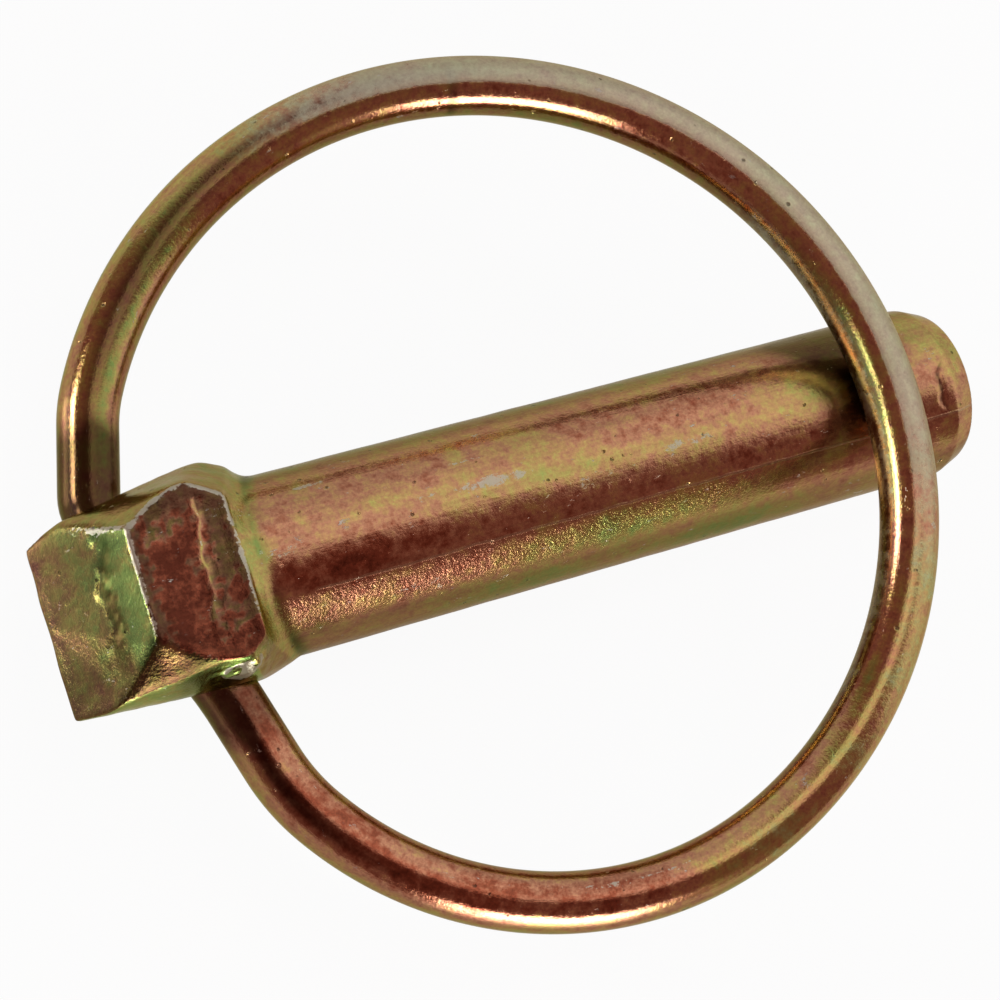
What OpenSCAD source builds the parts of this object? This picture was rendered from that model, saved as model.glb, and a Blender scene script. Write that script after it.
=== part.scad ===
// Lynch pin: a forged pin with a six-sided head, and a bent wire ring that hinges in a slanted bore
// through the head and closes down over the shank. Millimetres, lying on its back, +Z up.
// The origin is on the shank's axis, in the plane of the shoulder. +X runs to the tip.

/* [Shank] */
// Diameter of the shank
shank_d = 11; // [9:0.5:11.5]
// Length of the shank from the shoulder to the tip
shank_len = 48; // [42:0.1:60]
// Depth of the bevel around the tip
tip_bevel = 0.6; // [0.2:0.1:1.5]
// Length of the bevel around the tip
tip_bevel_len = 1.6; // [0.5:0.1:3]

/* [Head] */
// Thickness of the head across its front and back flats
head_across = 12; // [11.6:0.1:14]
// Length of the head from the shoulder to its outer edge
head_len = 13.55; // [12.5:0.05:16]
// Length of the front and back flats along the shank
flat_len = 6.3; // [5:0.1:7.5]
// Distance from the shoulder to the front and back flats
flat_setback = 3.05; // [2:0.05:4]
// Turn of the six-sided bar away from square to the shank, in degrees
bar_turn = 2.5; // [0:0.5:5]
// Reach of the left end of the head from the shank's axis
left_reach = 6.4; // [6:0.1:8]
// Reach of the right end of the head from the shank's axis
right_reach = 6.55; // [6:0.05:8]
// Height of the forging's parting line above the shank's axis
parting_up = 2; // [1:0.1:3]
// Draft of both ends below the parting line, in degrees
end_draft = 12; // [8:1:15]
// Slope of the left end above the parting line, in degrees
left_slope = 22.5; // [10:0.5:30]
// Slope of the right end above the parting line, in degrees
right_slope = 10; // [5:0.5:20]
// Turn of the left end away from the shank's direction, in degrees
left_turn = 9.5; // [0:0.5:15]
// Turn of the right end away from the shank's direction, in degrees
right_turn = 3; // [0:0.5:10]

/* [Hinge] */
// Distance from the shoulder back to where the bore crosses the shank's axis
bore_setback = 6.75; // [6:0.05:8]
// Angle between the bore and the shank's axis, in degrees
bore_angle = 71; // [68:1:80]
// Radial clearance of the wire in the bore
bore_clearance = 0.05; // [0.03:0.01:0.09]
// Gap between the two ends of the wire inside the bore
wire_end_gap = 3; // [1:0.5:6]

/* [Ring] */
// Diameter of the spring wire
wire_d = 3.65; // [3:0.05:4]
// Outside diameter of the ring
ring_od = 54.4; // [50:0.1:60]
// Distance by which the ring's circle passes beyond the left leg's corner, along the bore
ring_overhang = 0.63; // [0.4:0.01:1]
// Depth by which the bore's line cuts into the ring's circle
ring_cut = 4.3; // [4:0.05:4.6]
// Clearance between the closed ring and the shank
rest_gap = 0.1; // [0.05:0.05:0.5]
// Distance along the bore from the left end of the head to the left leg's corner
left_exit = 0.05; // [0:0.05:1]
// Angle between the left leg and the bore, in degrees
left_angle = 36; // [30:0.5:45]
// Radius of the left leg's bend into the bore
left_mouth_bend = 2.5; // [2.2:0.1:3]
// Radius of the bend from the left leg into the ring
left_bend = 10; // [5:0.5:14]
// Distance along the bore from the right end of the head to the right leg's corner
right_exit = 0.4; // [0.35:0.05:1]
// Angle between the right leg and the bore, in degrees
right_angle = 5; // [1:0.5:8]
// Radius of the bend from the right leg into the ring
right_bend = 12.5; // [8:0.5:14]
// Difference in radius between the ring's circle and its eased right side
right_ease = 3.6; // [2.5:0.05:3.9]

/* [Hidden] */
$fn = 64;

shank_r = shank_d / 2;
wire_r = wire_d / 2;
bore_r = wire_r + bore_clearance;
half_across = head_across / 2;

// Places along X of the ends and the middle of the head's flats
flat_x0 = -flat_setback - flat_len;
flat_x1 = -flat_setback;
flat_mid_x = (flat_x0 + flat_x1) / 2;

// A block larger than the head, from which the planes of its ends are cut
block = 4 * head_len;

// The wire's corners, measured along the bore from the shank's axis
left_corner = left_reach + left_exit;
right_corner = right_reach + right_exit;

// The bore's mouth on the left is opened out so that the leg's bend turns freely in it
mouth_start = left_corner - 1;
mouth_flare = 35;

// Outward normal of a plane: its turn about Z from +X, and its pitch above the XY plane
function normal(turn, pitch) = [cos(pitch) * cos(turn), cos(pitch) * sin(turn), sin(pitch)];

// Each trim is [turn, pitch, a point on the plane]. These are the ends of the head, and at each end
// the corner next to the shoulder
left_ridge = [flat_mid_x, left_reach, parting_up];
right_ridge = [flat_mid_x, -right_reach, parting_up];
end_trims = [
    [90 + left_turn, -end_draft, left_ridge],
    [90 + left_turn, left_slope, left_ridge],
    [-90 - right_turn, -end_draft, right_ridge],
    [-90 - right_turn, right_slope, right_ridge],
    [62, 0, [-flat_setback / 2, left_reach + 0.3, 0]],
    [-66, 0, [-2 * flat_setback / 3, 0.2 - right_reach, 0]]
];

// The hammered corners of the flats, each cut on the front and again on the back
left_outer_corner = [flat_x0, left_reach - 3.3, half_across];
left_inner_corner = [flat_x1, left_reach - 2.6, half_across];
right_outer_corner = [flat_x0, 2.9 - right_reach, half_across];
right_inner_corner = [flat_x1, 1.8 - right_reach, half_across];
corner_trims = [
    [155, 37.5, left_outer_corner],
    [118, 38, left_outer_corner],
    [61, 38, left_inner_corner],
    [-126, 49, right_outer_corner],
    [-52, 23, right_inner_corner]
];

// The ring in its own plane: X along the bore from left to right, Y towards the tip
ring_r = (ring_od - wire_d) / 2;
half_chord = sqrt(ring_r * ring_r - pow(ring_r - ring_cut, 2));
ring_centre = [half_chord - left_corner - ring_overhang, ring_r - ring_cut, 0];
ease_r = ring_r - right_ease;
ease_centre = ring_centre + [right_ease, 0, 0];

// A point at a distance from another, at an angle from X
function polar(from, distance, angle) = from + distance * [cos(angle), sin(angle), 0];
function angle_of(v) = atan2(v[1], v[0]);

// Centre of the bend that runs from a straight leg into a circle, on the leg's inner side
function leg_bend_centre(corner, leg_angle, side, radius, circle_centre, circle_r) =
    let (
        start = polar(corner, radius, leg_angle + side * 90),
        along = polar([0, 0, 0], 1, leg_angle),
        off = start - circle_centre,
        gap = circle_r - radius,
        run = -off * along + sqrt(pow(off * along, 2) - off * off + gap * gap)
    )
    start + run * along;

// Left side: corner on the bore's line, the leg's direction, and its bend into the ring
left_leg = 180 - left_angle;
left_centre = leg_bend_centre([-left_corner, 0, 0], left_leg, -1, left_bend, ring_centre, ring_r);
left_join = 360 + angle_of(left_centre - ring_centre);
left_tangent = left_mouth_bend * tan(left_angle / 2);

// Right side: the same, with its bend into the eased arc, and no bend at its slight corner
right_leg = -right_angle;
right_centre = leg_bend_centre([right_corner, 0, 0], right_leg, 1, right_bend, ease_centre, ease_r);
right_join = angle_of(right_centre - ease_centre);

// The stretches of wire stop a hair short of each seam, and a short collar a hair thicker than the wire
// joins them
seam_gap = 0.1;
collar_len = 0.5;
collar_r = wire_r + 0.02;

// How far along the ring's own Y the wire crosses the shank, for a given slope of that Y to the shank
function crossing(slope) =
    let (
        a = 1 + slope * slope,
        b = slope * ring_centre[0] + ring_centre[1],
        c = ring_centre * ring_centre - ring_r * ring_r
    )
    (b + sqrt(b * b - a * c)) / a;

// Tilt of the closed ring, which lies on top of the shank
rest_height = shank_r + wire_r + rest_gap;
bore_slope = 1 / tan(bore_angle);
first_tilt = asin(rest_height / crossing(bore_slope));
ring_tilt = asin(rest_height / crossing(bore_slope * cos(first_tilt)));

// Everything on one side of a plane, for cutting away
module beyond(trim) {
    reach = trim[2] * normal(trim[0], trim[1]);
    rotate([0, -trim[1], trim[0]])
        translate([reach, -block, -block])
            cube([2 * block, 2 * block, 2 * block]);
}

// Six-sided bar lying across the shank, before its ends and corners are trimmed
module head_bar() {
    translate([flat_mid_x, 0, 0])
        rotate([90, 0, -bar_turn])
            translate([-flat_mid_x, 0, -block / 2])
                linear_extrude(block)
                    polygon([
                        [-head_len, 0], [flat_x0, half_across], [flat_x1, half_across],
                        [0, 0], [flat_x1, -half_across], [flat_x0, -half_across]
                    ]);
}

module head() {
    difference() {
        head_bar();
        for (trim = end_trims) beyond(trim);
        for (trim = corner_trims) {
            beyond(trim);
            mirror([0, 0, 1]) beyond(trim);
        }
    }
}

module shank() {
    rotate([0, 90, 0])
        rotate_extrude()
            polygon([
                [0, flat_mid_x], [shank_r, flat_mid_x], [shank_r, shank_len - tip_bevel_len],
                [shank_r - tip_bevel, shank_len], [0, shank_len]
            ]);
}

// Places its children in the ring's frame: origin on the bore, X along the bore
module on_bore(tilt) {
    translate([-bore_setback, 0, 0])
        rotate([0, 0, -bore_angle])
            rotate([tilt, 0, 0])
                children();
}

module bore() {
    flare_h = block / 4;
    on_bore(0)
        rotate([0, 90, 0]) {
            cylinder(r = bore_r, h = block, center = true);
            translate([0, 0, -mouth_start - flare_h])
                cylinder(r1 = bore_r + flare_h * tan(mouth_flare), r2 = bore_r, h = flare_h);
        }
}

module pin() {
    color("darkgoldenrod")
        difference() {
            union() {
                head();
                shank();
            }
            bore();
        }
}

// A collar over a seam, square to the wire's direction
module collar(at, along) {
    translate(at)
        rotate([0, 0, along])
            rotate([0, 90, 0])
                cylinder(r = collar_r, h = collar_len, center = true);
}

// A stretch of wire bent around a centre, from one angle to another
module bend(centre, radius, from, to) {
    seam_angle = atan(seam_gap / radius);
    translate(centre)
        rotate([0, 0, from + seam_angle])
            rotate_extrude(angle = to - from - 2 * seam_angle)
                translate([radius, 0])
                    circle(r = wire_r);
}

// A straight stretch of wire from a point, at an angle in the ring's plane
module straight(from, angle, length) {
    translate(polar(from, seam_gap, angle))
        rotate([0, 0, angle])
            rotate([0, 90, 0])
                cylinder(r = wire_r, h = length - 2 * seam_gap);
}

// Left side: stub in the bore, bend out of it, straight leg, and bend into the ring
module left_side() {
    corner = [-left_corner, 0, 0];
    stub_end = corner + [left_tangent, 0, 0];
    leg_start = polar(corner, left_tangent, left_leg);
    run = (left_centre - corner) * polar([0, 0, 0], 1, left_leg);
    straight(stub_end, 0, -stub_end[0] - wire_end_gap / 2);
    collar(stub_end, 180);
    bend(stub_end + [0, left_mouth_bend, 0], left_mouth_bend, 270 - left_angle, 270);
    collar(leg_start, left_leg);
    straight(leg_start, left_leg, run - left_tangent);
    collar(polar(corner, run, left_leg), left_leg);
    bend(left_centre, left_bend, left_join, left_leg + 90);
    collar(polar(ring_centre, ring_r, left_join), left_join + 90);
}

// Right side: stub in the bore, straight leg, bend, and eased arc into the ring
module right_side() {
    corner = [right_corner, 0, 0];
    run = (right_centre - corner) * polar([0, 0, 0], 1, right_leg);
    straight(corner, 180, right_corner - wire_end_gap / 2);
    collar(corner, right_leg / 2);
    straight(corner, right_leg, run);
    collar(polar(corner, run, right_leg), right_leg);
    bend(right_centre, right_bend, right_leg - 90, right_join);
    collar(polar(ease_centre, ease_r, right_join), right_join + 90);
    bend(ease_centre, ease_r, right_join, 0);
    collar(polar(ring_centre, ring_r, 0), 90);
}

module ring() {
    color("peru")
        on_bore(ring_tilt) {
            left_side();
            bend(ring_centre, ring_r, 0, left_join);
            right_side();
        }
}

pin();
ring();
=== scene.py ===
import math

import bpy
import numpy as np
from mathutils import Matrix, Vector, noise


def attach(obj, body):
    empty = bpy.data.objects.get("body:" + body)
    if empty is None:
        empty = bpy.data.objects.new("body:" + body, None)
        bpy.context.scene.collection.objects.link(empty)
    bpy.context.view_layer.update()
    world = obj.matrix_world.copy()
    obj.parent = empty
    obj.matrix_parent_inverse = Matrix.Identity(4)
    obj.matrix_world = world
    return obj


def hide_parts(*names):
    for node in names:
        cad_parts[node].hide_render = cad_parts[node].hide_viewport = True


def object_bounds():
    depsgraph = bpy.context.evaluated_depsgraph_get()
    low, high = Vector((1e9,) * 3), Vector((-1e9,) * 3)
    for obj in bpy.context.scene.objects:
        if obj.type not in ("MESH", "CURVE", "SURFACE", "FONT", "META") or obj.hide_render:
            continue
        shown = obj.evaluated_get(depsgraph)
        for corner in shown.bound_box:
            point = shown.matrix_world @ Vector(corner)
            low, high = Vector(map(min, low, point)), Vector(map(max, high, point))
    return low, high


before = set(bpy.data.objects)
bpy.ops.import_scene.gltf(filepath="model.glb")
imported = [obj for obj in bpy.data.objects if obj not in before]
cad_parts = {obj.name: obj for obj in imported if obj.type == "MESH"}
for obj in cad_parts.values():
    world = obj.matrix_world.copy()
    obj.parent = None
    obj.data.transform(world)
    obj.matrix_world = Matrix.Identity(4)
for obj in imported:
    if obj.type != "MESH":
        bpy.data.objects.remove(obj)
cad_box = [list(corner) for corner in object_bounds()]

# The camera looks down on the pin from over the outer end of its head, a little towards the right
# of the shank, close enough for the far end of the shank to look slightly smaller.
MM = 0.001
camera_data = bpy.data.cameras.new("camera")
camera_data.lens = 111.96
camera_data.sensor_width = 36
camera_data.clip_start = 0.01
camera_data.clip_end = 20
camera = bpy.data.objects.new("camera", camera_data)
bpy.context.scene.collection.objects.link(camera)
camera_at = Vector((-64.95, -34.44, 167.52)) * MM
look_along = Vector((0.42818, 0.18341, -0.88488)).normalized()
picture_up = Vector((0.23695, 0.92214, 0.30579))
picture_right = look_along.cross(picture_up).normalized()
picture_up = picture_right.cross(look_along)
camera_turn = Matrix((picture_right, picture_up, -look_along)).transposed().to_4x4()
camera.matrix_world = Matrix.Translation(camera_at) @ camera_turn
bpy.context.scene.camera = camera
bpy.context.scene.view_settings.view_transform = "Standard"


# The pin is one steel forging. The head is a six-sided bar lying across the shank, hammered off at its
# corners, with a slanted bore right through it, and the shank runs out of its shoulder through a small
# hollow. It is shaped here as the space on the inner side of a set of faces, with every edge rounded.
def plane(turn, pitch, point):
    """The facing and offset of a plane through a point, by its turn about Z and its pitch in degrees."""
    turn, pitch = math.radians(turn), math.radians(pitch)
    level = math.cos(pitch)
    facing = np.array([level * math.cos(turn), level * math.sin(turn), math.sin(pitch)])
    return facing, float(facing @ np.array(point, float))


def soft_max(values, edge):
    """The largest of several distances, with the corner between them rounded."""
    values = np.array(values)
    top = values.max(axis=0)
    return top + edge * np.log(np.exp((values - top) / edge).sum(axis=0))


def soft_min(one, other, edge):
    """The smaller of two distances, with the hollow between them filled."""
    mix = np.clip(0.5 + 0.5 * (other - one) / np.maximum(edge, 1e-6), 0, 1)
    return other + (one - other) * mix - edge * mix * (1 - mix)


def ramp(value, start, end):
    """0 at start, 1 at end, with an easy curve between."""
    t = np.clip((value - start) / (end - start), 0, 1)
    return t * t * (3 - 2 * t)


shank_r, shank_len, tip_bevel, tip_bevel_len = 5.5, 48.0, 0.6, 1.6
flat_x0, flat_x1, flat_z, head_len = -9.35, -3.05, 6.0, 13.55
flat_mid = (flat_x0 + flat_x1) / 2
bar_turn = 2.5
outer_pitch = math.degrees(math.atan2(head_len + flat_x0, flat_z))
shoulder_pitch = math.degrees(math.atan2(-flat_x1, flat_z))
bar_faces = [
    (np.array([0, 0, 1.0]), flat_z),
    plane(180 - bar_turn, outer_pitch, (flat_x0, 0, flat_z)),
    plane(-bar_turn, shoulder_pitch, (flat_x1, 0, flat_z)),
]
left_reach, right_reach, parting = 6.4, 6.55, 2.0
end_faces = [
    plane(99.5, 22.5, (flat_mid, left_reach, parting)),
    plane(99.5, -12, (flat_mid, left_reach, parting)),
    plane(-93, 10, (flat_mid, -right_reach, parting)),
    plane(-93, -12, (flat_mid, -right_reach, parting)),
    plane(62, 0, (flat_x1 / 2, left_reach + 0.3, 0)),
    plane(-66, 0, (2 * flat_x1 / 3, 0.2 - right_reach, 0)),
]
corner_faces = [
    plane(155, 37.5, (flat_x0, left_reach - 3.3, flat_z)),
    plane(118, 38, (flat_x0, left_reach - 3.3, flat_z)),
    plane(61, 38, (flat_x1, left_reach - 2.6, flat_z)),
    plane(-126, 49, (flat_x0, 2.9 - right_reach, flat_z)),
    plane(-52, 23, (flat_x1, 1.8 - right_reach, flat_z)),
    plane(-106, 38, (flat_x1 - 2.35, 0.67 - right_reach, flat_z)),
]
bore_at, bore_angle, bore_r = np.array([-6.75, 0, 0]), 71.0, 1.875
bore_dir = np.array([math.cos(math.radians(-bore_angle)), math.sin(math.radians(-bore_angle)), 0])
mouth_start, mouth_flare = 5.45, 35
smear_at, smear_size = np.array([-4.8, -5.8, 4.3]), np.array([1.25, 0.78, 1.1])


def head_faces(p):
    """Distances of points from the head's faces: the bar's, the ends' and the corners', front and back."""
    high = p * [1, 1, -1]
    bar = [q @ n - d for n, d in bar_faces for q in (p, high)]
    ends = [p @ n - d for n, d in end_faces]
    corners = [q @ n - d for n, d in corner_faces for q in (p, high)]
    return bar, ends, corners


# Where some of the faces stand in the list of them all.
front_flat, back_flat, outer_front, outer_back, shoulder_front, shoulder_back = range(6)
right_end_upper, right_end_lower = 8, 9
right_corner_front, right_corners, right_facets = 18, [18, 19, 20, 21], [22, 23]


def waviness(p, size, seed):
    """Soft random heights between about -0.5 and 0.5 at points, with hills of about the given size."""
    shift = Vector((seed, 7.3 * seed, -seed))
    return np.array([noise.noise(Vector(v) / size + shift) for v in p])


def groove(p, start, end, width):
    """Seen from above, 1 along a crooked line from start to end, falling to 0 at about width from it."""
    start, along = np.array(start), np.array(end) - np.array(start)
    off = p[:, :2] - start
    off[:, 0] += 0.12 * np.sin(1.6 * p[:, 1] + 0.8) + 0.06 * np.sin(4.3 * p[:, 1])
    t = np.clip(off @ along / (along @ along), 0, 1)
    gap = np.linalg.norm(off - t[:, None] * along, axis=1)
    return np.exp(-((gap / width) ** 2))


panel_crease = (-4.86, 3.68), (-6.01, -5.11)
outer_crease = (-10.45, 3.3), (-11.25, -4.2)


def hammered(p):
    """How far the hammer left each face of the head below true, deepest along two creases."""
    bar, ends, corners = head_faces(p)
    faces = np.array(bar + ends + corners)
    ranked = np.sort(faces, axis=0)
    winner = faces.argmax(axis=0)
    gap = ranked[-1] - ranked[-2]
    dished = 0.13 * (1 - np.exp(-((gap / 0.5) ** 2)))
    raised, sunk = groove(p, *panel_crease, 0.2), groove(p + [-0.3, 0, 0], *panel_crease, 0.18)
    panel = dished - 0.1 * raised + 0.12 * sunk
    outer_depth = 0.07 + 0.04 * np.sin(1.9 * p[:, 1])
    outer = 0.5 * dished + outer_depth * groove(p, *outer_crease, 0.24)
    return (winner == front_flat) * panel + (winner == outer_front) * outer


def tip_crack(p):
    """1 along the crooked crack across the end of the shank, falling to 0 beside it."""
    crack_x, crack_y, crack_width = 45.7, -1.2, 0.15
    line = crack_x + 0.4 * np.sin(1.1 * p[:, 1]) + 0.12 * np.sin(3.7 * p[:, 1])
    beside = np.exp(-(((p[:, 0] - line) / crack_width) ** 2))
    return beside * ramp(np.abs(p[:, 1] - crack_y), 1.8, 1.0) * ramp(p[:, 2], 0, 1)


def from_smear(p):
    """How far points are from the middle of the smeared lump, where 1 is its surface."""
    return np.linalg.norm((p - smear_at) / smear_size, axis=1)


even_dent = 0.035


def forging(p, dents):
    """Distance of points from the pin's surface, below 0 inside it, with the surface lowered by dents."""
    bar, ends, corners = head_faces(p)
    head = soft_max([soft_max(bar, 0.07), soft_max(corners, 0.08), soft_max(ends, 0.16)], 0.13)
    head += hammered(p) + dents
    smear = 0.8 * (from_smear(p) - 1) + 4 * (dents - even_dent)
    head = soft_min(head, smear, 0.3)
    taper = tip_bevel * np.clip((p[:, 0] - shank_len + tip_bevel_len) / tip_bevel_len, 0, 2)
    side = np.hypot(p[:, 1], p[:, 2]) - shank_r + taper + 0.25 * dents
    shank = soft_max([side, p[:, 0] - shank_len, flat_mid - p[:, 0]], 0.1)
    shank += 0.11 * tip_crack(p)
    hollow = 1.3 * ramp(p[:, 0], -3.6, -2.4)
    body = soft_min(head, shank, hollow)
    q = p - bore_at
    along = q @ bore_dir
    off = np.linalg.norm(q - along[:, None] * bore_dir, axis=1)
    flare = np.clip(-along - mouth_start, 0, 4) * math.tan(math.radians(mouth_flare))
    return soft_max([body, bore_r + flare - off], 0.06)


def onto_forging(p, dents):
    """Points moved onto the pin's surface, in seven steps of at most longest_move each."""
    probe, longest_move = 0.01, 0.3
    for _ in range(7):
        value = forging(p, dents)
        slope = np.empty_like(p)
        for axis, step in enumerate(probe * np.eye(3)):
            slope[:, axis] = (forging(p + step, dents) - forging(p - step, dents)) / (2 * probe)
        steepness = np.maximum((slope**2).sum(axis=1), 0.2)
        move = slope * (value / steepness)[:, None]
        length = np.maximum(np.linalg.norm(move, axis=1), 1e-9)
        p = p - move * np.minimum(1, longest_move / length)[:, None]
    return p


pin_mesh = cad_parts["pin"].data.copy()
pin = bpy.data.objects.new("forged_pin", pin_mesh)
bpy.context.scene.collection.objects.link(pin)
weld = pin.modifiers.new("weld", "WELD")
weld.merge_threshold = 0.002 * MM
remesh = pin.modifiers.new("remesh", "REMESH")
remesh.mode = "VOXEL"
remesh.voxel_size = 0.182 * MM
evaluated = pin.evaluated_get(bpy.context.evaluated_depsgraph_get())
shaped = bpy.data.meshes.new_from_object(evaluated)
pin.modifiers.clear()
pin.data = shaped
bpy.data.meshes.remove(pin_mesh)
points = np.empty(len(shaped.vertices) * 3)
shaped.vertices.foreach_get("co", points)
points = points.reshape(-1, 3) / MM
dents = even_dent + 0.07 * waviness(points, 2.6, 3) + 0.03 * waviness(points, 1.0, 5)
bar, ends, corners = head_faces(points)
outer_face = bar[outer_front] >= np.max(bar + ends + corners, axis=0)
dents *= 1 - 0.6 * outer_face * ramp(points[:, 0], -9.3, -9.9)
dents += 0.08 * ramp(from_smear(points), 2.2, 1.4) * waviness(points, 0.5, 2)
points = onto_forging(points, dents)
shaped.vertices.foreach_set("co", (points * MM).ravel())
shaped.polygons.foreach_set("use_smooth", [True] * len(shaped.polygons))
shaped.update()


# The pin is zinc plated and dipped in yellow chromate, a thin film that turns from gold to pink, red and
# green as it thickens. It is rubbed off to bare grey along the head's edges, and dull in the hollows.
def step_in(tree, kind, values=None, **settings):
    """A new node in a tree, with its settings made, and its inputs set to values or linked from sockets."""
    node = tree.nodes.new(kind)
    for key, value in settings.items():
        setattr(node, key, value)
    for key, value in (values or {}).items():
        if isinstance(value, bpy.types.NodeSocket):
            tree.links.new(value, node.inputs[key])
        else:
            node.inputs[key].default_value = value
    return node


def film_group():
    """The film's colour, roughness and relief, from a place on the piece and what is painted there."""
    group = bpy.data.node_groups.new("chromate_film", "ShaderNodeTree")
    for name, kind, value in (
        ("Place", "NodeSocketVector", None),
        ("Tone", "NodeSocketFloat", 0.5),
        ("Grey", "NodeSocketFloat", 0),
        ("Shade", "NodeSocketFloat", 0),
        ("Worn", "NodeSocketFloat", 0),
        ("Grain", "NodeSocketFloat", 1),
        ("Polish", "NodeSocketFloat", 0.2),
        ("Seam", "NodeSocketFloat", 0),
    ):
        socket = group.interface.new_socket(name, in_out="INPUT", socket_type=kind)
        if value is not None:
            socket.default_value = value
    group.interface.new_socket("Color", in_out="OUTPUT", socket_type="NodeSocketColor")
    for name in ("Roughness", "Height"):
        group.interface.new_socket(name, in_out="OUTPUT", socket_type="NodeSocketFloat")
    given, made = group.nodes.new("NodeGroupInput"), group.nodes.new("NodeGroupOutput")

    def math_node(operation, *values):
        return step_in(group, "ShaderNodeMath", dict(enumerate(values)), operation=operation).outputs[0]

    def cloud(scale, detail, roughness, distortion=0, stretch=(1, 1, 1)):
        values = {0: given.outputs["Place"], 1: stretch}
        place = step_in(group, "ShaderNodeVectorMath", values, operation="MULTIPLY")
        values = {"Vector": place.outputs[0], "Scale": scale, "Detail": detail, "Roughness": roughness}
        node = step_in(group, "ShaderNodeTexNoise", {**values, "Distortion": distortion})
        return math_node("SUBTRACT", node.outputs["Fac"], 0.5)

    def spread(value, amount, onto):
        return math_node("MULTIPLY_ADD", value, amount, onto)

    def between(value, low, high):
        values = {"Value": value, "From Min": low, "From Max": high}
        return step_in(group, "ShaderNodeMapRange", values, interpolation_type="SMOOTHSTEP").outputs["Result"]

    def mixed_color(fac, one, other):
        node = step_in(group, "ShaderNodeMix", {"Factor": fac}, data_type="RGBA")
        for key, value in ((6, one), (7, other)):
            if isinstance(value, bpy.types.NodeSocket):
                group.links.new(value, node.inputs[key])
            else:
                node.inputs[key].default_value = (*value, 1)
        return node.outputs[2]

    patches = cloud(0.3, 3, 0.6, 0.4)
    mottle = cloud(1.3, 4, 0.7)
    grain = cloud(5, 3, 0.7)
    chips = cloud(1.6, 5, 0.75, 0.2, (0.45, 1, 1))
    streaks = cloud(2.2, 3, 0.6, 0, (0.06, 1, 1))
    tone = spread(patches, 0.55, given.outputs["Tone"])
    tone = spread(mottle, 0.65, tone)
    tone = spread(grain, 0.15, tone)
    film = step_in(group, "ShaderNodeValToRGB", {"Fac": tone})
    stops = (
        (0.0, (0.13, 0.032, 0.018)),
        (0.22, (0.34, 0.095, 0.05)),
        (0.38, (0.5, 0.225, 0.13)),
        (0.5, (0.51, 0.3, 0.12)),
        (0.62, (0.46, 0.37, 0.11)),
        (0.78, (0.29, 0.37, 0.1)),
        (1.0, (0.13, 0.23, 0.06)),
    )
    ramp_stops = film.color_ramp.elements
    while len(ramp_stops) < len(stops):
        ramp_stops.new(0.5)
    for stop, (at, color) in zip(ramp_stops, stops):
        stop.position = at
        stop.color = (*color, 1)
    dim = spread(streaks, 0.5, spread(mottle, 0.45, spread(grain, 0.7, 1.0)))
    dim = math_node("MULTIPLY", dim, math_node("MULTIPLY_ADD", given.outputs["Shade"], -0.8, 1.0))
    color = step_in(group, "ShaderNodeVectorMath", {0: film.outputs["Color"]}, operation="SCALE")
    group.links.new(dim, color.inputs["Scale"])
    dull = between(spread(mottle, 0.6, spread(patches, 0.4, given.outputs["Grey"])), 0.32, 0.76)
    chalk = step_in(group, "ShaderNodeVectorMath", {0: (0.46, 0.43, 0.34)}, operation="SCALE")
    group.links.new(spread(mottle, 0.9, spread(grain, 0.5, 1.0)), chalk.inputs["Scale"])
    color = mixed_color(math_node("MULTIPLY", dull, 0.68), color.outputs[0], chalk.outputs[0])
    flecks = between(chips, 0.14, 0.2)
    color = mixed_color(math_node("MULTIPLY", flecks, 0.75), color, (0.52, 0.48, 0.42))
    rubbed = spread(grain, 0.45, spread(mottle, 0.5, given.outputs["Worn"]))
    rubbed = between(spread(chips, 0.9, rubbed), 0.4, 0.52)
    color = mixed_color(math_node("MULTIPLY", rubbed, 0.8), color, (0.52, 0.47, 0.38))
    color = mixed_color(math_node("MULTIPLY", given.outputs["Seam"], 0.4), color, (0.5, 0.38, 0.24))
    values = {"Vector": given.outputs["Place"], "Scale": 0.9, "Randomness": 1}
    cells = step_in(group, "ShaderNodeTexVoronoi", values)
    pits = between(cells.outputs["Distance"], 0.16, 0.07)
    pits = math_node("MULTIPLY", pits, between(mottle, 0.0, 0.08))
    color = mixed_color(math_node("MULTIPLY", pits, 0.7), color, (0.05, 0.03, 0.02))
    rough = spread(dull, 0.22, spread(mottle, 0.25, given.outputs["Polish"]))
    rough = spread(flecks, 0.15, spread(rubbed, 0.2, rough))
    height = spread(mottle, 0.35, math_node("MULTIPLY", grain, given.outputs["Grain"]))
    height = spread(streaks, 0.25, spread(rubbed, -0.1, height))
    height = spread(given.outputs["Seam"], 0.3, spread(pits, -0.7, spread(flecks, -0.12, height)))
    group.links.new(color, made.inputs["Color"])
    group.links.new(rough, made.inputs["Roughness"])
    group.links.new(height, made.inputs["Height"])
    return group


film = film_group()


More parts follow.
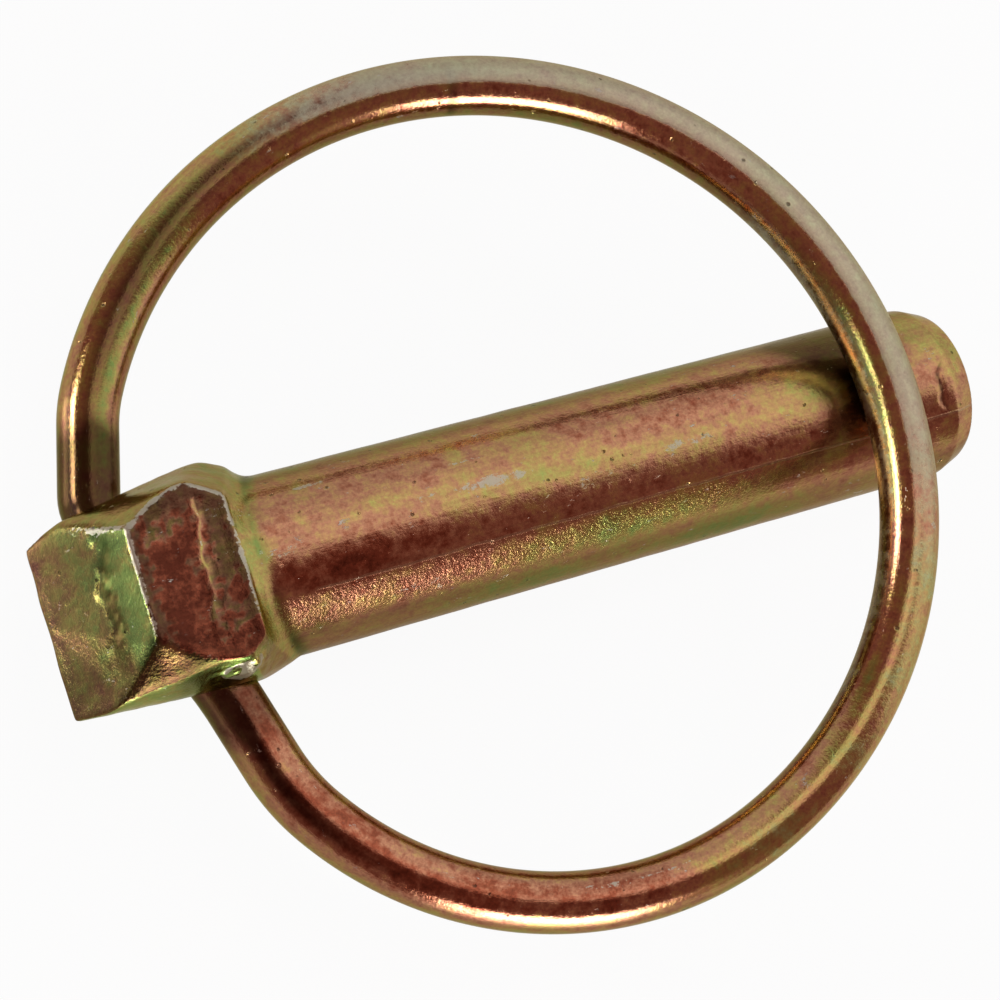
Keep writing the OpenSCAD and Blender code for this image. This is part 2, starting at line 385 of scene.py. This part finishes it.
def plated(name, polish, bump):
    """Chromated zinc, whose tone, greyness, shade and wear are read from the piece's own attributes.

    Its patterns lie along the attribute run, which goes along the piece, across it and up, in millimetres."""
    material = bpy.data.materials.new(name)
    material.use_nodes = True
    tree = material.node_tree
    shader = tree.nodes["Principled BSDF"]
    shader.inputs["Metallic"].default_value = 1
    shader.inputs["Specular Tint"].default_value = (0.9, 0.86, 0.62, 1)
    place = step_in(tree, "ShaderNodeAttribute", attribute_name="run")
    coat = step_in(tree, "ShaderNodeGroup", node_tree=film)
    tree.links.new(place.outputs["Vector"], coat.inputs["Place"])
    for value in ("Tone", "Grey", "Shade", "Worn", "Grain"):
        read = step_in(tree, "ShaderNodeAttribute", attribute_name=value.lower())
        tree.links.new(read.outputs["Fac"], coat.inputs[value])
    coat.inputs["Polish"].default_value = polish
    values = {"Height": coat.outputs["Height"], "Strength": 1.0, "Distance": bump * MM}
    relief = step_in(tree, "ShaderNodeBump", values)
    tree.links.new(coat.outputs["Color"], shader.inputs["Base Color"])
    tree.links.new(coat.outputs["Roughness"], shader.inputs["Roughness"])
    tree.links.new(relief.outputs["Normal"], shader.inputs["Normal"])
    return material


def paint(mesh, run, **layers):
    """Keep each point's place along the piece, and its painted values, as attributes of the mesh."""
    layer = mesh.attributes.new("run", "FLOAT_VECTOR", "POINT")
    layer.data.foreach_set("vector", np.asarray(run, dtype=np.float32).ravel())
    for name, values in layers.items():
        layer = mesh.attributes.new(name, "FLOAT", "POINT")
        layer.data.foreach_set("value", np.clip(values, -1, 2).astype(np.float32))


def patch(along, around, at, reach):
    """1 at a place along and around a piece, falling to 0 at its reach."""
    gap = ((along - at[0]) / reach[0]) ** 2 + ((around - at[1]) / reach[1]) ** 2
    return np.exp(-(gap**1.5))


def patches(along, around, *spots):
    """The sum of several patches, each given by its place, its reach and its strength."""
    return sum(strength * patch(along, around, at, reach) for at, reach, strength in spots)


bar, ends, corners = head_faces(points)
faces = np.array(bar + ends + corners)
winner = faces.argmax(axis=0)
ranked = np.sort(faces, axis=0)
on_head = ramp(ranked[-1], -0.5, -0.25) * ramp(ranked[-1], 0.8, 0.3)
neck = ramp(ranked[-1], 1.7, 0.7) * (1 - on_head) * ramp(ranked[-1], -0.3, 0)
turned = np.degrees(np.arctan2(points[:, 1], points[:, 2]))
x, y, z = points.T
tone = 0.42 + patches(
    x,
    turned,
    ((22.5, -46), (9, 13), 0.26),
    ((22.5, -50), (12, 22), -0.04),
    ((3.5, -21), (7.5, 11), -0.2),
    ((31.5, -21), (6, 10), -0.08),
    ((18.5, -1), (8, 8), 0.16),
    ((35.5, 9), (4, 14), 0.15),
    ((6, 8), (4, 7), 0.12),
    ((27.5, 15), (5, 14), -0.08),
    ((46.5, 25), (2.5, 40), 0.14),
    ((15, -76), (5, 14), 0.24),
    ((29, -76), (6, 14), 0.22),
    ((24, -70), (16, 22), 0.08),
    ((11, 60), (9, 16), 0.12),
    ((27, 60), (4, 16), 0.1),
)
tone += 0.14 * ramp(turned, 52, 66) * ramp(turned, 140, 100) * ramp(x, 44, 34)
# The shank is painted darker along its upper and lower sides, as painted shade.
shade = 0.55 * ramp(turned, 36, 60) * ramp(turned, 140, 100)
shade += 0.5 * ramp(turned, -52, -66) * ramp(turned, -150, -110)

# The marks that run round the shank fade towards the middle of its end face.
from_middle = ramp(np.hypot(y, z), 1.5, 5.2)
end_tone = 0.46
tone = end_tone + (tone - end_tone) * from_middle
shade *= from_middle

# The neck is greener. Painted shade darkens the neck, most on its lower side, the crack, the shank where the
# ring crosses it, and a spot beside the neck.
tone += 0.26 * neck
shade += neck * (0.3 + 0.3 * ramp(y, -1, -4)) + tip_crack(points)
shade += patches(
    x,
    turned,
    ((39.6, 16), (3.4, 44), 1.05),
    ((39, 48), (4, 20), 0.8),
    ((1.2, -50), (1.6, 14), 0.35),
)
grain = 0.14 + 0.5 * ramp(turned, -31, -36) * ramp(turned, -64, -54) * ramp(x, 36, 28)

# Each face of the head has its own tone and its own amount of painted shade.
face_tone, face_shade = np.full(len(faces), 0.58), np.full(len(faces), 0.3)
for which, its_tone, its_shade in (
    ([front_flat, back_flat], 0.02, 0.25),
    ([outer_front, outer_back], 0.66, 0.66),
    ([shoulder_front, shoulder_back], 0.62, 0.1),
    ([right_end_upper, right_end_lower], 0.82, 0.0),
    (right_corners, 0.55, 0.5),
    (right_facets, 0.56, 0.0),
):
    face_tone[which], face_shade[which] = its_tone, its_shade
tone += (face_tone[winner] - tone) * on_head
shade += (face_shade[winner] - shade) * on_head

# The flats are darker and browner, with a speckled border, on the shoulder's side of the crease, at their
# left end and along their outer edge.
on_flats = on_head * (winner <= back_flat)
crease_run = np.subtract(*panel_crease)
past_crease = (x - panel_crease[0][0]) * crease_run[1] - (y - panel_crease[0][1]) * crease_run[0]
past_crease /= np.linalg.norm(crease_run)
speckle = 1.5 * waviness(points, 0.9, 4) + 2.2 * waviness(points, 0.38, 14)
browned = ramp(past_crease + 1.2 * waviness(points, 1.6, 8) + speckle, -0.6, 1.2)
browned *= ramp(y + speckle, -5.2, -3.5)
browned = np.maximum(browned, ramp(y + speckle, 1.2, 3.2))
browned = np.maximum(browned, ramp(x - 0.5 * speckle, -8.3, -9.2)) * on_flats
tone += (0.46 - tone) * browned
shade += (0.97 + 0.35 * waviness(points, 0.45, 12) - shade) * browned
grain += 0.35 * on_flats + 0.1 * on_head

# The outer face is green next to the flat, and pink along its far edge. Painted shade darkens it towards its
# lower end, less on the green strip.
on_outer = on_head * (winner == outer_front)
green_strip = on_outer * ramp(x, -10.9, -10.2)
tone += 0.16 * green_strip - 0.14 * on_outer * ramp(x, -11.4, -12.6)
shade += 0.2 * on_outer * ramp(y, -1, -4) - 0.3 * green_strip
grey = 0.08 + 0.08 * on_outer * (1 - green_strip)

# The plating is rubbed off along the edges of the front flat and the outer face, and here and there
# along the shank.
edge_gap = ranked[-1] - ranked[-2]
second = np.argsort(faces, axis=0)[-2]
beside_flat = (winner == front_flat) | (second == front_flat)
beside_outer = (winner == outer_front) | (second == outer_front)
worn = on_head * np.exp(-((edge_gap / 0.26) ** 2)) * (0.3 + 0.3 * ramp(y, -4.5, -2.5))
worn *= np.maximum(beside_flat, 0.85 * beside_outer) * (ramp(z, 1.5, 3.5) + ramp(z, -1.5, -3.5))
worn += (1 - on_head) * patches(
    x,
    turned,
    ((-0.7, -4), (2.5, 6), 0.44),
    ((15, 3), (4, 6), 0.4),
    ((20.5, -12), (5, 8), 0.34),
    ((26.5, -4), (3, 5), 0.4),
    ((2.6, 35), (2.2, 2.5), 0.5),
    ((12.6, 22), (1.8, 2.2), 0.48),
    ((8, -48), (4, 7), 0.34),
    ((9.5, 5), (5, 6), 0.34),
)

# The crease on the front flat has a lip painted light gold, partly rubbed film and partly a painted
# highlight, and the flat is darker just inside its edge.
on_front = on_head * (winner == front_flat)
lip = on_front * groove(points, *panel_crease, 0.16) * ramp(y, -4, 1.5)
tone += (0.56 - tone) * lip
worn += 0.4 * lip * ramp(y, -2, 1)
shade = np.minimum(shade, 1.0) * (1 - lip)
shade += 0.3 * on_front * np.exp(-(((edge_gap - 0.42) / 0.15) ** 2))

# Painted shade darkens the outer face's lower edge, its crease, the corner under the front flat, and the
# middle below that flat.
on_corner = winner == right_corner_front
lower_edge = (winner == outer_front) & (second == right_corner_front)
lower_edge |= on_corner & (second == outer_front)
shade += 0.7 * on_head * lower_edge * np.exp(-((edge_gap / 0.3) ** 2))
shade += 0.5 * on_outer * groove(points + [-0.15, 0, 0], *outer_crease, 0.4) * ramp(speckle, -0.9, 0.4)
lower_corner = on_head * on_corner * (1 - patch(x, y, (-8.8, -4.4), (0.8, 0.8)))
shade += (1.12 - shade) * lower_corner
under_panel = on_head * (z > 0) * (winner > back_flat) * patch(x, y, (-7.3, -5.7), (1.5, 0.8))
shade = np.minimum(shade + under_panel, 1.0 + 0.12 * under_panel)

# The smeared lump is bare metal.
worn += 0.75 * ramp(from_smear(points), 1.25, 1.0)
shade *= ramp(from_smear(points), 1.1, 1.6)
paint(shaped, points, tone=tone, grey=grey, shade=shade, worn=worn, grain=grain)
pin_plating = plated("zinc_plated_forging", 0.17, 0.06)

# The two halves of the forging die left a fine raised line along the shank, a third of the way down its
# right side and again on the far side.
tree = pin_plating.node_tree
seam_turn = math.radians(-32)
seam_side = Vector((0, math.cos(seam_turn), -math.sin(seam_turn)))
place = next(node for node in tree.nodes if node.type == "ATTRIBUTE" and node.attribute_name == "run")
values = {0: place.outputs["Vector"], 1: seam_side}
aside = step_in(tree, "ShaderNodeVectorMath", values, operation="DOT_PRODUCT").outputs["Value"]
values = {"Vector": place.outputs["Vector"], "Scale": 0.5, "Detail": 4.0}
wander = step_in(tree, "ShaderNodeTexNoise", values).outputs["Fac"]
aside = step_in(tree, "ShaderNodeMath", {0: wander, 1: 0.3, 2: aside}, operation="MULTIPLY_ADD").outputs[0]
aside = step_in(tree, "ShaderNodeMath", {0: aside, 1: -0.15}, operation="ADD").outputs[0]
aside = step_in(tree, "ShaderNodeMath", {0: aside}, operation="ABSOLUTE").outputs[0]
values = {"Value": aside, "From Min": 0.11, "From Max": 0.04}
seam = step_in(tree, "ShaderNodeMapRange", values).outputs["Result"]
along_pin = step_in(tree, "ShaderNodeSeparateXYZ", {0: place.outputs["Vector"]}).outputs["X"]
values = {"Value": along_pin, "From Min": 0.8, "From Max": 1.4}
on_shank = step_in(tree, "ShaderNodeMapRange", values).outputs["Result"]
seam = step_in(tree, "ShaderNodeMath", {0: seam, 1: on_shank}, operation="MULTIPLY").outputs[0]
coat = next(node for node in tree.nodes if node.type == "GROUP")
tree.links.new(seam, coat.inputs["Seam"])
shaped.materials.clear()
shaped.materials.append(pin_plating)
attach(pin, "pin")
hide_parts("pin")


# The ring is one length of round spring wire, bent to a near circle. On the left it leaves the bore
# through a tight bend and a straight leg, and on the right it leaves almost straight. Its two ends sit
# loose in the bore, and it is made here as a round section drawn along the wire's path.
wire_r = 1.825
ring_r = 54.4 / 2 - wire_r
ring_cut, ring_overhang, right_ease = 4.3, 0.63, 3.6
left_corner, left_angle, left_mouth_bend, left_bend = left_reach + 0.05, 36, 2.5, 10
right_corner, right_angle, right_bend = right_reach + 0.4, 5, 12.5
end_in_bore, rest_gap = 1.5, 0.1
half_chord = math.sqrt(ring_r**2 - (ring_r - ring_cut) ** 2)
ring_centre = np.array([half_chord - left_corner - ring_overhang, ring_r - ring_cut])
ease_r, ease_centre = ring_r - right_ease, ring_centre + [right_ease, 0]


def polar(angle):
    """The direction at an angle in the ring's own plane, in degrees from its right."""
    return np.array([math.cos(math.radians(angle)), math.sin(math.radians(angle))])


def angle_of(v):
    return math.degrees(math.atan2(v[1], v[0]))


def leg_bend_centre(corner, leg_angle, side, radius, circle_centre, circle_r):
    """The centre of the bend that leads from a straight leg into a circle around it."""
    start = corner + radius * polar(leg_angle + side * 90)
    off, along = start - circle_centre, polar(leg_angle)
    run = -off @ along + math.sqrt((off @ along) ** 2 - off @ off + (circle_r - radius) ** 2)
    return start + run * along


def bend(centre, radius, start, end):
    """Points every quarter of a millimetre round a bend, from one angle to another."""
    count = max(3, int(abs(math.radians(end - start)) * radius / 0.25))
    return [centre + radius * polar(a) for a in np.linspace(start, end, count)]


left_leg, right_leg = 180 - left_angle, -right_angle
left_at, right_at = np.array([-left_corner, 0.0]), np.array([right_corner, 0.0])
left_centre = leg_bend_centre(left_at, left_leg, -1, left_bend, ring_centre, ring_r)
right_centre = leg_bend_centre(right_at, right_leg, 1, right_bend, ease_centre, ease_r)
left_join = 360 + angle_of(left_centre - ring_centre)
right_join = angle_of(right_centre - ease_centre)
left_tangent = left_mouth_bend * math.tan(math.radians(left_angle / 2))
path = [np.array([end_in_bore, 0.0]), right_at - [0.5, 0], right_at + 0.5 * polar(right_leg)]
path += bend(right_centre, right_bend, right_leg - 90, right_join)
path += bend(ease_centre, ease_r, right_join, 0)[1:]
path += bend(ring_centre, ring_r, 0, left_join)[1:]
path += bend(left_centre, left_bend, left_join, left_leg + 90)[1:]
path += bend(left_at + [left_tangent, left_mouth_bend], left_mouth_bend, 270 - left_angle, 270)
path += [np.array([-end_in_bore, 0.0])]


def crossing(slope):
    """How far out in the ring's plane the wire crosses a line of the given slope from the bore's middle."""
    a, b = 1 + slope**2, slope * ring_centre[0] + ring_centre[1]
    return (b + math.sqrt(b * b - a * (ring_centre @ ring_centre - ring_r**2))) / a


rest_height = shank_r + wire_r + rest_gap
bore_slope = 1 / math.tan(math.radians(bore_angle))
# Tilting the ring changes the slope at which it meets the shank, so its tilt is worked out twice.
tilt = math.asin(rest_height / crossing(bore_slope))
tilt = math.asin(rest_height / crossing(bore_slope * math.cos(tilt)))
across = np.array([-bore_dir[1], bore_dir[0], 0])
tipward = math.cos(tilt) * across + math.sin(tilt) * np.array([0, 0, 1.0])
ring_up = np.cross(bore_dir, tipward)
route = [bore_at + h * bore_dir + p * tipward for h, p in path]

wire_path = bpy.data.curves.new("wire_path", "CURVE")
wire_path.dimensions = "3D"
spline = wire_path.splines.new("POLY")
spline.points.add(len(route) - 1)
for spot, at in zip(spline.points, route):
    spot.co = (*(at * MM), 1)
ring = bpy.data.objects.new("wire_path", wire_path)
bpy.context.scene.collection.objects.link(ring)

wire_sides, wire_step = 48, 0.3
wire_plating = plated("zinc_plated_wire", 0.13, 0.04)
drawing = bpy.data.node_groups.new("round_wire", "GeometryNodeTree")
drawing.interface.new_socket("Geometry", in_out="INPUT", socket_type="NodeSocketGeometry")
draw = ring.modifiers.new("round_wire", "NODES")
settings = {}
for name, kind, value in (
    ("Wire Radius", "NodeSocketFloat", wire_r * MM),
    ("Sides", "NodeSocketInt", wire_sides),
    ("Step", "NodeSocketFloat", wire_step * MM),
    ("Material", "NodeSocketMaterial", wire_plating),
):
    socket = drawing.interface.new_socket(name, in_out="INPUT", socket_type=kind)
    settings[socket.identifier] = value
drawing.interface.new_socket("Geometry", in_out="OUTPUT", socket_type="NodeSocketGeometry")
given = drawing.nodes.new("NodeGroupInput")
even = step_in(drawing, "GeometryNodeResampleCurve", {"Curve": given.outputs["Geometry"]}, mode="LENGTH")
drawing.links.new(given.outputs["Step"], even.inputs["Length"])
section = step_in(drawing, "GeometryNodeCurvePrimitiveCircle")
drawing.links.new(given.outputs["Sides"], section.inputs["Resolution"])
drawing.links.new(given.outputs["Wire Radius"], section.inputs["Radius"])
values = {"Curve": even.outputs["Curve"], "Profile Curve": section.outputs["Curve"], "Fill Caps": True}
drawn = step_in(drawing, "GeometryNodeCurveToMesh", values)
smooth = step_in(drawing, "GeometryNodeSetShadeSmooth", {"Geometry": drawn.outputs["Mesh"]})
real = step_in(drawing, "GeometryNodeRealizeInstances", {"Geometry": smooth.outputs["Geometry"]})
dressed = step_in(drawing, "GeometryNodeSetMaterial", {"Geometry": real.outputs["Geometry"]})
drawing.links.new(given.outputs["Material"], dressed.inputs["Material"])
out = drawing.nodes.new("NodeGroupOutput")
drawing.links.new(dressed.outputs["Geometry"], out.inputs["Geometry"])

draw.node_group = drawing
for identifier, value in settings.items():
    draw[identifier] = value
evaluated = ring.evaluated_get(bpy.context.evaluated_depsgraph_get())
wire_mesh = bpy.data.meshes.new_from_object(evaluated)
bpy.data.objects.remove(ring)
ring = bpy.data.objects.new("wire_ring", wire_mesh)
bpy.context.scene.collection.objects.link(ring)

# Where each of the wire's points lies: how far along it, and how far round from its upper side, in
# degrees, outwards from the ring's middle.
points = np.empty(len(wire_mesh.vertices) * 3)
wire_mesh.vertices.foreach_get("co", points)
turns = points.reshape(-1, wire_sides, 3) / MM
spine = turns.mean(axis=1)
steps = np.linalg.norm(np.diff(spine, axis=0), axis=1)
along = np.repeat(np.concatenate([[0], np.cumsum(steps)]), wire_sides)
outwards = np.cross(np.gradient(spine, axis=0), ring_up)
outwards /= np.linalg.norm(outwards, axis=1)[:, None]
halfway = len(spine) // 2
if (spine[halfway] - spine.mean(axis=0)) @ outwards[halfway] < 0:
    outwards = -outwards
off_spine = turns - spine[:, None]
outer = np.einsum("ijk,ik->ij", off_spine, outwards).ravel() / wire_r
upper = (off_spine @ ring_up).ravel() / wire_r
around = np.degrees(np.arctan2(outer, upper))

# The plating is green and gold in patches, and chalky on its upper, outer side, away from the head.
tone = 0.42 - 0.16 * ramp(np.abs(around), 50, 20) * ramp(along, 40, 30)
tone += 0.14 * ramp(np.abs(around), 60, 80)
tone += patches(
    along,
    around,
    ((21, -20), (4, 16), 0.12),
    ((54.5, -34), (2.4, 11), 0.3),
    ((50, -15), (5, 20), 0.12),
    ((76, -50), (9, 22), 0.22),
    ((138, -24), (9, 12), 0.3),
    ((130, 28), (16, 14), 0.06),
    ((120, 20), (6, 30), -0.1),
)
chalky = ramp(around, -20, -9) * ramp(around, 150, 110)
tone += 0.1 * chalky * ramp(along, 30, 46)
inside = ramp(around, -46, -58) * ramp(along, 44, 54) * ramp(along, 96, 86)
grey = 0.05 + 0.5 * inside
grey += chalky * (0.32 * ramp(along, 30, 46) + 0.45 * ramp(along, 58, 76)) * ramp(along, 136, 108)

# Painted shade darkens it where it leaves the head, along the underside of the wire, on its inner edge and in
# patches further on; the long patch on its upper left is darker film.
shade = 0.7 * ramp(along, 10, 7) + 0.98 * ramp(along, 142.5, 145)
shade += 0.5 * ramp(np.abs(around), 52, 75) * (1 - chalky) + 0.3 * inside
shade += 0.3 * ramp(around, 48, 60) * ramp(along, 50, 42)
shade += patches(
    along,
    around,
    ((110, -40), (0.3, 60), 0.6),
    ((126, 3), (20, 19), 0.9),
    ((13, 20), (7, 16), 0.6),
    ((8, 22), (8, 20), 0.5),
    ((139, -20), (10, 22), 0.35),
    ((82, -50), (8, 20), 0.35),
)
shade = np.minimum(shade, 1.04)
worn = patches(
    along,
    around,
    ((12, -24), (4, 7), 0.4),
    ((34, -22), (9, 8), 0.46),
    ((52, 25), (7, 14), 0.3),
    ((91, 5), (5, 14), 0.28),
    ((84, -30), (2, 18), 0.32),
    ((122, 5), (5, 12), 0.26),
)
run = np.stack([along, outer * wire_r, upper * wire_r], axis=1)
paint(wire_mesh, run, tone=tone, grey=grey, shade=shade, worn=worn, grain=np.full(len(along), 0.3))
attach(ring, "ring")
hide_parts("ring")


# The floor is a plain white sheet, slightly polished, that the pin lies on. It shows white to the camera,
# keeps the pin's soft shadow, and shows a little brighter in what the pin reflects.
floor_size, floor_gap = 3, 0.0001
bpy.ops.mesh.primitive_plane_add(size=floor_size, location=(0, 0, cad_box[0][2] - floor_gap))
floor = bpy.context.object
floor.name = "floor"
sheet = bpy.data.materials.new("white_sheet")
sheet.use_nodes = True
tree = sheet.node_tree
paper = tree.nodes["Principled BSDF"]
paper.inputs["Base Color"].default_value = (0.85, 0.85, 0.85, 1)
paper.inputs["Roughness"].default_value = 0.2
paper.inputs["Specular IOR Level"].default_value = 0.6
glow = step_in(tree, "ShaderNodeEmission", {"Strength": 1.0})
ray = step_in(tree, "ShaderNodeLightPath")
white_to_camera, white_to_pin = 0.94, 0.2
values = {0: ray.outputs["Is Camera Ray"], 1: white_to_camera}
share = step_in(tree, "ShaderNodeMath", values, operation="MULTIPLY").outputs[0]
values = {0: ray.outputs["Is Glossy Ray"], 1: white_to_pin, 2: share}
share = step_in(tree, "ShaderNodeMath", values, operation="MULTIPLY_ADD").outputs[0]
mixed = step_in(tree, "ShaderNodeMixShader", {0: share, 1: paper.outputs[0], 2: glow.outputs[0]})
tree.links.new(mixed.outputs[0], tree.nodes["Material Output"].inputs["Surface"])
floor.data.materials.append(sheet)


# The studio is a plain room, with its far side white and its near side a dark brown wall. It has a soft
# skylight, a little cool daylight on the left, and three bright panels low down, two of them on the left
# and one in front. It shows white where the camera sees it.
world = bpy.data.worlds.new("studio")
bpy.context.scene.world = world
world.use_nodes = True
tree = world.node_tree
tree.nodes.remove(tree.nodes["Background"])
way = step_in(tree, "ShaderNodeTexCoord").outputs["Generated"]


def facing_share(direction, start, end):
    """How far a direction in the room leans towards a given one, from 0 at start to 1 at end."""
    lean = step_in(tree, "ShaderNodeVectorMath", {0: way, 1: direction}, operation="DOT_PRODUCT")
    values = {"Value": lean.outputs["Value"], "From Min": start, "From Max": end}
    fade = step_in(tree, "ShaderNodeMapRange", values, interpolation_type="SMOOTHSTEP")
    return fade.outputs["Result"]


def glow_around(x, y, z, start, end):
    """A soft round patch of light in a direction, brightest at its middle."""
    return facing_share(Vector((x, y, z)).normalized(), start, end)


def times(one, other):
    return step_in(tree, "ShaderNodeMath", {0: one, 1: other}, operation="MULTIPLY").outputs[0]


def blended(share, one, other):
    """One brightness where share is 0, the other where it is 1."""
    return step_in(tree, "ShaderNodeMix", {0: share, 2: one, 3: other}, data_type="FLOAT").outputs[0]


def panel(direction, half_width, half_height, edge):
    """A square-cornered panel in a direction, as the pin sees it, from 0 outside to 1 inside."""
    ahead = Vector(direction).normalized()
    across = Vector((-ahead.y, ahead.x, 0)).normalized()
    inside = facing_share(ahead, 0.5, 0.6)
    for side, half in ((across, half_width), (ahead.cross(across), half_height)):
        for sign in (1, -1):
            inside = times(inside, facing_share(side * sign, half + edge, half - edge))
    return inside


def background_light(color, strength):
    return step_in(tree, "ShaderNodeBackground", {"Color": (*color, 1), "Strength": strength}).outputs[0]


def added(one, other):
    return step_in(tree, "ShaderNodeAddShader", {0: one, 1: other}).outputs[0]


far_side = facing_share((0.78, 0.62, 0), 0.2, 0.34)
left_side = glow_around(-0.95, 0.3, 0.1, 0.88, 0.97)
level = blended(far_side, 0.0, blended(glow_around(0.5, -0.1, 0.86, 0.45, 0.95), 0.64, 0.98))
for share, brightness in (
    (left_side, 0.05),
    (glow_around(0.12, -0.98, 0.15, 0.9, 0.97), 0.2),
    (glow_around(0.12, 0.07, 0.99, 0.955, 0.99), 0.85),
    (panel((-0.83, 0.46, 0.32), 0.19, 0.12, 0.03), 12.0),
    (panel((-0.92, 0.06, 0.4), 0.04, 0.1, 0.03), 8.0),
    (panel((-0.13, -0.99, 0.07), 0.29, 0.3, 0.04), 10.0),
):
    level = blended(share, level, brightness)
room_light = background_light((1, 1, 1), level)
daylight = background_light((0.6, 0.85, 1.25), times(left_side, 0.4))
dark_wall = background_light((0.24, 0.135, 0.12), blended(far_side, 1.0, 0.0))
room = added(added(room_light, daylight), dark_wall)
ray = step_in(tree, "ShaderNodeLightPath")
white = background_light((1, 1, 1), 1.0)
seen = step_in(tree, "ShaderNodeMixShader", {0: ray.outputs["Is Camera Ray"], 1: room, 2: white})
tree.links.new(seen.outputs[0], tree.nodes["World Output"].inputs["Surface"])
